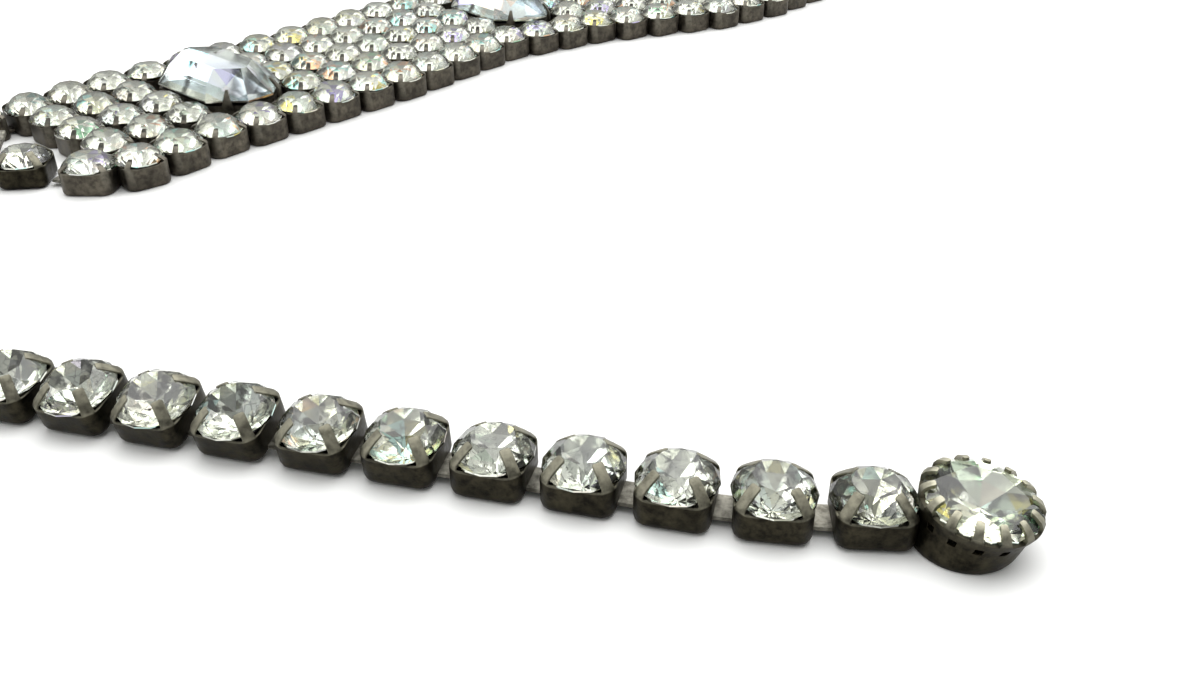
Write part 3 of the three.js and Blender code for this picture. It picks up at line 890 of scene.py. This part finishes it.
def tarnish_group():
    """Patchy tarnish with rims and prongs lightened by wear and by painted highlight: colour, roughness and
    height over the metal.
    """
    group, source, sink = new_group(
        "Tarnished metal",
        (
            ("Dark", "NodeSocketColor", (0.04, 0.04, 0.03, 1)),
            ("Light", "NodeSocketColor", (0.15, 0.14, 0.12, 1)),
            ("Wear and highlight", "NodeSocketColor", (0.5, 0.5, 0.45, 1)),
        ),
        (("Color", "NodeSocketColor"), ("Roughness", "NodeSocketFloat"), ("Height", "NodeSocketFloat")),
    )
    place = object_place(group)
    patches = noise(group, place, PATCH_SCALE, 5, 0.62)
    stains = noise(group, place, STAIN_SCALE, 2)
    grain = noise(group, place, GRAIN_SCALE, 2)
    spread = remap(group, patches, (0.36, 0.68), (0.0, 1.0))
    patchy = mix_colours(group, spread, source.outputs["Dark"], source.outputs["Light"])
    clouds = remap(group, stains, (0.3, 0.7), (0.6, 1.25))
    stained = mix_colours(group, 1.0, patchy, clouds, "MULTIPLY")
    chance = remap(group, patches, (0.3, 0.62), (0.45, 1.25))
    # wear and painted highlight, broken into patches
    wear_and_highlight_share = maths(group, "MULTIPLY", attribute(group, "worn"), chance, clamp=True)
    for label, value in (
        ("Color", mix_colours(group, wear_and_highlight_share, stained, source.outputs["Wear and highlight"])),
        ("Roughness", remap(group, patches, (0.3, 0.7), (0.34, 0.6))),
        ("Height", maths(group, "MULTIPLY_ADD", stains, 2.0, grain)),
    ):
        group.links.new(value, sink.inputs[label])
    return group


def new_material(name, group, values, bump=0.0, depth=0.0):
    """A material that takes its colour from a shared group, and its bumps where they have a strength."""
    material = bpy.data.materials.new(name)
    material.use_nodes = True
    tree = material.node_tree
    shader = tree.nodes["Principled BSDF"]
    shared = tree.nodes.new("ShaderNodeGroup")
    shared.node_tree = group
    for label, value in values.items():
        shared.inputs[label].default_value = value
    tree.links.new(shared.outputs["Color"], shader.inputs["Base Color"])
    if bump:
        bumps = tree.nodes.new("ShaderNodeBump")
        bumps.inputs["Strength"].default_value = bump
        bumps.inputs["Distance"].default_value = depth
        tree.links.new(shared.outputs["Height"], bumps.inputs["Height"])
        tree.links.new(bumps.outputs["Normal"], shader.inputs["Normal"])
    return tree, shader, shared


def metal_material(name, group, dark, light, worn, metallic):
    """A metal with the shared tarnish."""
    values = {"Dark": dark, "Light": light, "Wear and highlight": worn}
    tree, shader, tarnish = new_material(name, group, values, 0.3, 0.05 * MM)
    shader.inputs["Metallic"].default_value = metallic
    tree.links.new(tarnish.outputs["Roughness"], shader.inputs["Roughness"])


def facet_group():
    """Painted light and shade and painted coloured flashes read from each facet's chance number, with
    painted shade along fine creases in the foil.
    """
    group, source, sink = new_group(
        "Painted facet light and shade",
        (
            ("Tint", "NodeSocketColor", (1, 1, 1, 1)),
            ("Shade", "NodeSocketFloat", 1.0),
            ("Flash", "NodeSocketFloat", 0.5),
            ("Creases", "NodeSocketFloat", 0.5),
        ),
        (("Color", "NodeSocketColor"), ("Height", "NodeSocketFloat")),
    )
    chance = attribute(group, "facet")
    shuffled = maths(group, "FRACT", maths(group, "MULTIPLY", chance, 37.0))
    # painted light and shade for each facet, by its chance number
    painted_light_and_shade = colour_steps(group, chance, PAINTED_FACET_LIGHT_AND_SHADE)
    # painted coloured flashes for each facet
    painted_flashes = colour_steps(group, shuffled, PAINTED_FLASHES)
    shaded = mix_colours(group, source.outputs["Shade"], source.outputs["Tint"], painted_light_and_shade, "MULTIPLY")
    flashed = mix_colours(group, source.outputs["Flash"], shaded, painted_flashes, "MULTIPLY")
    place = object_place(group)
    bent = noise(group, place, FOIL_BEND_SCALE, 2)
    cells = group.nodes.new("ShaderNodeTexVoronoi")
    cells.feature = "DISTANCE_TO_EDGE"
    cells.inputs["Scale"].default_value = CREASE_SCALE
    group.links.new(place, cells.inputs["Vector"])
    # painted shade along the creases of the foil
    lines = remap(group, cells.outputs["Distance"], (0.0, 0.06), (1.0, 0.0))
    broken = maths(group, "MULTIPLY", lines, remap(group, bent, (0.42, 0.6), (0.0, 1.0)))
    painted_crease_shade = maths(group, "MULTIPLY", broken, source.outputs["Creases"], clamp=True)
    group.links.new(mix_colours(group, painted_crease_shade, flashed, CREASE_SHADE_COLOUR), sink.inputs["Color"])
    group.links.new(bent, sink.inputs["Height"])
    return group


def crystal_material(name, group, tint, flash, roughness=0.015, ior=1.56):
    """Clear cut glass, a few of whose facets carry painted coloured flashes."""
    values = {"Tint": tint, "Shade": 0.0, "Flash": flash, "Creases": 0.0}
    shader = new_material(name, group, values)[1]
    for label, value in (("Roughness", roughness), ("IOR", ior), ("Transmission Weight", 1.0)):
        shader.inputs[label].default_value = value


def foil_material(name, group, foil):
    """The mirrored backing of a stone, with painted light and shade, painted coloured flashes and painted
    shade in its creases, facet by facet.
    """
    values = {"Tint": foil.tint, "Shade": foil.shade, "Flash": foil.flash, "Creases": foil.creases}
    shader = new_material(name, group, values, 0.25, 0.03 * MM)[1]
    shader.inputs["Metallic"].default_value = 1.0
    shader.inputs["Roughness"].default_value = foil.roughness


def finish(name):
    """A finish by name, made with all the others the first time it is asked for."""
    if name not in bpy.data.materials:
        paints = bpy.context.scene.choker_finishes
        tarnish, facets = tarnish_group(), facet_group()
        metal_material("chain_metal", tarnish, paints.tarnish_dark, paints.tarnish_light, paints.worn, 1.0)
        metal_material("panel_metal", tarnish, paints.panel_dark, paints.panel_light, paints.panel_wear_and_highlight, 0.8)
        metal_material("bare_silver", tarnish, paints.silver_dark, paints.silver, paints.silver, 0.9)
        crystal_material("clear_crystal", facets, paints.crystal, 0.25)
        crystal_material("icy_crystal", facets, paints.icy, 0.7, 0.05, 1.3)
        for label, foil in FOILS.items():
            foil_material(label, facets, foil)
    return bpy.data.materials[name]


# ---- pieces ----

Bar = namedtuple("Bar", "name start end low draw_start draw_end")

# degrees up to which neighbouring faces look smooth
CUP_SMOOTH = 35
STRIP_SMOOTH = 40
WIRE_SMOOTH = 50

CHAIN_TILT = 2.0
PANEL_TILT = 4.0
HEAD_TILT = 0.5
PANEL_SEED = 10
OCTAGON_SEED = 20
HEAD_SEED = 31
HEAD_ASIDE = 0.2 * MM
ROW_STRIP_WIDTH = 1.6 * MM
ROW_STRIP_LOW = 0.25 * MM
ROW_STRIP_THICKNESS = 0.4 * MM
TIE_SHORT = 2.5 * MM
TAIL_BAR_LENGTH = 6.4


def scatter(rng, degrees):
    """A small chance tilt."""
    spread = math.radians(degrees)
    tilt_x = Matrix.Rotation(rng.uniform(-spread, spread), 4, "X")
    return tilt_x @ Matrix.Rotation(rng.uniform(-spread, spread), 4, "Y")


def stone_tip(rng, girdle, tilt):
    """Tips a stone a little about its girdle."""
    lift = Matrix.Translation((0, 0, girdle))
    return lift @ scatter(rng, tilt) @ lift.inverted()


def build_cups(name, template, places, material, nodes):
    """One piece of like cups."""
    bm = bmesh.new()
    bm.verts.layers.float.new("worn")
    for place in places:
        stamp(bm, template, place)
    return make_piece(bm, name, [material], nodes, CUP_SMOOTH)


def build_stones(name, templates, places, materials, nodes, girdle, tilt, seed):
    """One piece of like stones, each one of the templates, tipped and with its own chance number on each
    facet, which picks that facet's painted light, shade and flash.
    """
    rng = random.Random(seed)
    bm = bmesh.new()
    layer = bm.faces.layers.float.new("facet")
    for place in places:
        template = rng.choice(templates)
        for face in stamp(bm, template, place @ stone_tip(rng, girdle, tilt)):
            face[layer] = rng.random()
    make_piece(bm, name, materials, nodes)


class CHOKER_OT_chain(bpy.types.Operator):
    """Builds the chain's cups and stones, open and hidden"""

    bl_idname = "choker.chain"
    bl_label = "Chain cups and stones"

    def execute(self, context):
        """Stamps cups and stones along both chains."""
        sizes = context.scene.choker_chain
        cup = bent_cup(CupShape(
            along=sizes.width, across=sizes.width, rim=sizes.rim, rise=sizes.rise, wall=sizes.wall,
            corner=sizes.corner, foot=sizes.foot, segments=6, prong=0.52 * MM, steps=CHAIN_PRONG,
        ), "chain_cup")
        stone = round_stone(sizes.stone, 1.0, sizes.girdle, sizes.crown, 1.75 * MM, "chain_stone")
        loose = place_matrices([ROOT_POSE, *OPEN_POSES], OPEN_TIPS)
        runs = (
            ("tail", loose, [f"tail_{{}}_{i:02d}" for i in range(len(loose))]),
            ("tail_bend", place_matrices(BEND_POSES), ["tail_bend_chain"]),
            ("hook_chain", place_matrices(HOOK_POSES), ["hook_chain"]),
        )
        for seed, (name, places, nodes) in enumerate(runs):
            settings = [node.format("setting") for node in nodes]
            stones = [node.format("stone") for node in nodes]
            soften(build_cups(f"{name}_cups", cup, places, "chain_metal", settings))
            build_stones(
                f"{name}_stones", [stone], places, ("clear_crystal", "stone_foil"), stones,
                sizes.girdle, CHAIN_TILT, seed,
            )
        return {"FINISHED"}


class CHOKER_OT_panel(bpy.types.Operator):
    """Builds the panel's five rows of cups and stones"""

    bl_idname = "choker.panel"
    bl_label = "Panel rows"

    def execute(self, context):
        """Stamps each row's cups and stones."""
        sizes = context.scene.choker_panel
        girdle = sizes.rim + 0.05 * MM
        cups, stones = {}, {}
        for edge, along, across, radius in (
            (True, sizes.edge_along, sizes.edge_across, sizes.edge_stone),
            (False, sizes.inner_along, sizes.inner_across, sizes.inner_stone),
        ):
            cups[edge] = bent_cup(CupShape(
                along=along, across=across, rim=sizes.rim, rise=0.25 * MM, wall=0.22 * MM,
                corner=1.2 * MM, foot=0.3 * MM, segments=6, prong=0.45 * MM, steps=PANEL_PRONG,
            ), "panel_cup")
            stones[edge] = round_stone(
                radius, sizes.stretch, girdle, sizes.crown, 1.7 * MM, "panel_stone",
            )
        for index, row in enumerate(ROWS):
            places = place_matrices(row_poses(index))
            build_cups(f"{row.name}_cups", cups[row.edge], places, "panel_metal", [row.name])
            build_stones(
                f"{row.name}_stones", [stones[row.edge]], places, ("clear_crystal", "panel_foil"),
                [row.name], girdle, PANEL_TILT, PANEL_SEED + index,
            )
        return {"FINISHED"}


class CHOKER_OT_octagons(bpy.types.Operator):
    """Builds the three octagon stones in their trays"""

    bl_idname = "choker.octagons"
    bl_label = "Octagons"

    def execute(self, context):
        """Makes a tray and a stone for each octagon."""
        sizes = context.scene.choker_octagons
        tray, stone = octagon_cup(sizes), octagon_stone(sizes)
        for index, first in enumerate(OCTAGON_COLUMNS, 1):
            place = place_matrix(octagon_pose(first))
            build_cups(f"octagon_tray_{index}", tray, [place], "panel_metal", [f"octagon_setting_{index}"])
            build_stones(
                f"octagon_crystal_{index}", [stone], [place], ("icy_crystal", "icy_foil"),
                [f"octagon_stone_{index}"], sizes.girdle, 0.0, OCTAGON_SEED + index,
            )
        return {"FINISHED"}


class CHOKER_OT_end_head(bpy.types.Operator):
    """Builds the round end head and its stone"""

    bl_idname = "choker.end_head"
    bl_label = "End head"

    def execute(self, context):
        """Shapes the head and seats its stone."""
        sizes = context.scene.choker_head
        upright_place = place_matrix(Pose(HEAD_POSE.x - HEAD_ASIDE, HEAD_POSE.y, 0.0))
        soften(build_cups("end_head", head_cup(sizes), [upright_place], "chain_metal", ["end_setting"]))
        lift = Matrix.Translation((0, 0, sizes.rim))
        tipped = Matrix.Rotation(math.radians(sizes.tip), 4, "Y")
        tipped = tipped @ Matrix.Rotation(math.radians(sizes.raise_back), 4, "X")
        facing = Matrix.Rotation(math.radians(HEAD_PRONG_FACING), 4, "Z")
        place = upright_place @ lift @ tipped @ lift.inverted() @ facing
        stone = round_stone(
            sizes.stone, 1.0, sizes.girdle, sizes.crown, 2.1 * MM, "head_stone",
            sides=HEAD_PRONGS, band=0.28 * MM, table=0.62,
        )
        build_stones(
            "end_crystal", [stone], [place], ("clear_crystal", "head_foil"), ["end_stone"],
            sizes.girdle, HEAD_TILT, HEAD_SEED,
        )
        return {"FINISHED"}


def link_runs():
    """The link strips: from where to where, how far each end is drawn in, the width and the tip."""
    face = CUP_HALF + SEAT_GAP
    corner = corner_pose(0, False)
    opens = [
        (start, end, STRIP_REACH, STRIP_REACH, STRIP_WIDTH, (tip + next_tip) / 2)
        for start, end, tip, next_tip in zip(OPEN_POSES, OPEN_POSES[1:], OPEN_TIPS[1:], OPEN_TIPS[2:])
    ]
    return [
        (ROOT_POSE, corner, face + SLANT_GAP, EDGE_CUP_HALF + SEAT_GAP + SLANT_GAP, NARROW_STRIP, 0),
        (ROOT_POSE, BEND_POSES[0], STRIP_REACH, face, NARROW_STRIP, 0),
        (BEND_POSES[-1], OPEN_POSES[0], face, STRIP_REACH, STRIP_WIDTH, OPEN_TIPS[1]),
        *opens,
        (OPEN_POSES[-1], HEAD_POSE, STRIP_REACH, HEAD_HALF + SEAT_GAP, STRIP_WIDTH, 0),
    ]


class CHOKER_OT_links(bpy.types.Operator):
    """Builds the link strips, the panel's ties, the yoke bars and the hook"""

    bl_idname = "choker.links"
    bl_label = "Links, bars and hook"

    def execute(self, context):
        """Lays strips between cups, bars between rows and chains, and turns the hook."""
        sizes = context.scene.choker_links
        self.lay_links(sizes)
        self.lay_row_strips()
        self.lay_bars(sizes)
        hook = hook_wire(sizes)
        seat = beside(HOOK_POSES[-1], CUP_HALF + SEAT_GAP, 0)
        bmesh.ops.transform(hook, matrix=place_matrix(seat), verts=hook.verts)
        make_piece(hook, "hook_wire", ["bare_silver"], ["hook"], WIRE_SMOOTH)
        return {"FINISHED"}

    def lay_links(self, sizes):
        """The strips between the tail's cups, and those inside the hidden turn and the hook's chain."""
        runs = link_runs()
        like = (STRIP_REACH, STRIP_REACH, STRIP_WIDTH, 0)
        bend = [(*ends, *like) for ends in zip(BEND_POSES, BEND_POSES[1:])]
        hook = [(*ends, *like) for ends in zip(HOOK_POSES, HOOK_POSES[1:])]
        for name, strips, nodes in (
            ("link_strips", runs, [f"tail_link_{i:02d}" for i in range(len(runs))]),
            ("bend_strips", bend, ["tail_bend_chain"]),
            ("hook_strips", hook, ["hook_chain"]),
        ):
            bm = bmesh.new()
            for start, end, draw_start, draw_end, width, tip in strips:
                strip_between(
                    bm, start, end, width * MM, sizes.link_low, sizes.link_thickness,
                    draw_start * MM, draw_end * MM, tip,
                )
            make_piece(bm, name, ["bare_silver"], nodes, STRIP_SMOOTH)

    def lay_row_strips(self):
        """The flat strips under each row and the ties from each row to the next."""
        shape = (ROW_STRIP_WIDTH, ROW_STRIP_LOW, ROW_STRIP_THICKNESS, 0.0)
        for index, row in enumerate(ROWS):
            bm = bmesh.new()
            poses = row_poses(index)
            for start, end in zip(poses, poses[1:]):
                strip_between(bm, start, end, *shape, 0.0)
            for other in ROWS[index + 1:index + 2]:
                for place in TIE_COLUMNS:
                    ends = [beside(COLUMNS[place], 0, across) for across in (row.across, other.across)]
                    strip_between(bm, *ends, *shape, TIE_SHORT)
            make_piece(bm, f"{row.name}_strips", ["panel_metal"], [row.name], STRIP_SMOOTH)

    def lay_bars(self, sizes):
        """The flat bars that gather the panel's rows into the chains."""
        start = beside(BEND_POSES[0], 0, -TAIL_BAR_ASIDE, TAIL_BAR_TURN)
        for bar in (
            Bar("yoke_tail", start, beside(start, TAIL_BAR_LENGTH, 0), 1.5, 0.0, 0.0),
            Bar("yoke_hook_near", corner_pose(0, True), HOOK_POSES[0], 0.9, 3.0, 4.1),
            Bar("yoke_hook_far", corner_pose(len(ROWS) - 1, True), HOOK_POSES[0], 0.9, 3.0, 4.1),
        ):
            bm = bmesh.new()
            strip_between(
                bm, bar.start, bar.end, sizes.bar_width, bar.low * MM, sizes.bar_thickness,
                bar.draw_start * MM, bar.draw_end * MM,
            )
            make_piece(bm, f"{bar.name}_bar", ["bare_silver"], [bar.name], STRIP_SMOOTH)


# ---- stage ----

Lamp = namedtuple("Lamp", "name place size power")

SKY_COLOUR = (0.99, 1.0, 0.965, 1)
TABLE_REACH = 2.0
LIT_CENTRE = Vector((HEAD_POSE.x - 30 * MM, HEAD_POSE.y + 40 * MM, 0))


def studio_world(brightness):
    """Pale surroundings, brighter overhead and behind the choker than low in front of it."""
    world = bpy.data.worlds.new("studio")
    world.use_nodes = True
    tree = world.node_tree
    background = tree.nodes["Background"]
    background.inputs["Color"].default_value = SKY_COLOUR
    split = tree.nodes.new("ShaderNodeSeparateXYZ")
    tree.links.new(tree.nodes.new("ShaderNodeTexCoord").outputs["Generated"], split.inputs[0])
    upward = remap(tree, split.outputs["Z"], (0.0, 0.9), (0.55, 1.3))
    behind = remap(tree, split.outputs["Y"], (-0.8, 0.4), (0.3, 1.0))
    both = maths(tree, "MULTIPLY", upward, behind)
    tree.links.new(maths(tree, "MULTIPLY", both, brightness), background.inputs["Strength"])
    return world


class CHOKER_OT_stage(bpy.types.Operator):
    """Sets the table, the lights and the camera"""

    bl_idname = "choker.stage"
    bl_label = "Stage"

    def execute(self, context):
        """Makes the plain studio."""
        scene = context.scene
        studio = scene.choker_studio
        bm = bmesh.new()
        bmesh.ops.create_grid(bm, x_segments=1, y_segments=1, size=TABLE_REACH)
        data = as_mesh(bm, "table")
        material = bpy.data.materials.new("table_paint")
        material.use_nodes = True
        shader = material.node_tree.nodes["Principled BSDF"]
        shader.inputs["Base Color"].default_value = studio.floor
        shader.inputs["Roughness"].default_value = 0.7
        data.materials.append(material)
        table = bpy.data.objects.new("table", data)
        scene.collection.objects.link(table)
        scene.world = studio_world(studio.world)
        for lamp in (
            Lamp("key_light", (0.10, 0.25, 0.55), 0.9, studio.key_power),
            Lamp("fill_light", (-0.45, -0.05, 0.25), 0.3, studio.fill_power),
        ):
            data = bpy.data.lights.new(lamp.name, "AREA")
            data.energy = lamp.power
            data.size = lamp.size
            light = bpy.data.objects.new(lamp.name, data)
            place = Vector(lamp.place)
            light.location = LIT_CENTRE + place
            light.rotation_euler = (-place).to_track_quat("-Z", "Y").to_euler()
            scene.collection.objects.link(light)
        lens = bpy.data.cameras.new("camera")
        lens.sensor_width = 36.0
        lens.lens = studio.lens
        lens.clip_start = 1 * MM
        lens.clip_end = 10.0
        camera = bpy.data.objects.new("camera", lens)
        camera.location = (
            HEAD_POSE.x + studio.camera_x * MM, HEAD_POSE.y + studio.camera_y * MM, studio.camera_height,
        )
        camera.rotation_euler = (math.radians(90 - studio.pitch), 0, 0)
        scene.collection.objects.link(camera)
        scene.camera = camera
        scene.view_settings.view_transform = "Standard"
        return {"FINISHED"}


class CHOKER_PT_panel(bpy.types.Panel):
    """Lists the choker's sizes and the steps that build it"""

    bl_idname = "CHOKER_PT_panel"
    bl_label = "Crystal choker"
    bl_space_type = "VIEW_3D"
    bl_region_type = "UI"
    bl_category = "Choker"

    def draw(self, context):
        """Shows each group's properties and each operator."""
        for group in GROUPS:
            settings = getattr(context.scene, group)
            box = self.layout.box()
            for label in settings.__annotations__:
                box.prop(settings, label)
        for operator in OPERATORS:
            self.layout.operator(operator.bl_idname)


GROUPS = {
    "choker_chain": ChokerChainSizes,
    "choker_panel": ChokerPanelSizes,
    "choker_octagons": ChokerOctagonSizes,
    "choker_head": ChokerHeadSizes,
    "choker_links": ChokerLinkSizes,
    "choker_finishes": ChokerFinishes,
    "choker_studio": ChokerStudio,
}
OPERATORS = (
    CHOKER_OT_stage,
    CHOKER_OT_chain,
    CHOKER_OT_panel,
    CHOKER_OT_octagons,
    CHOKER_OT_end_head,
    CHOKER_OT_links,
)


def register():
    """Registers the classes and their scene properties."""
    for name, group in GROUPS.items():
        bpy.utils.register_class(group)
        setattr(bpy.types.Scene, name, bpy.props.PointerProperty(type=group))
    for operator in OPERATORS:
        bpy.utils.register_class(operator)
    bpy.utils.register_class(CHOKER_PT_panel)


def unregister():
    """Takes everything away again."""
    bpy.utils.unregister_class(CHOKER_PT_panel)
    for operator in reversed(OPERATORS):
        bpy.utils.unregister_class(operator)
    for name, group in reversed(GROUPS.items()):
        delattr(bpy.types.Scene, name)
        bpy.utils.unregister_class(group)


def main():
    """Builds the choker and its stage."""
    register()
    bpy.ops.choker.stage()
    bpy.ops.choker.chain()
    bpy.ops.choker.panel()
    bpy.ops.choker.octagons()
    bpy.ops.choker.end_head()
    bpy.ops.choker.links()


if __name__ == "__main__":
    main()
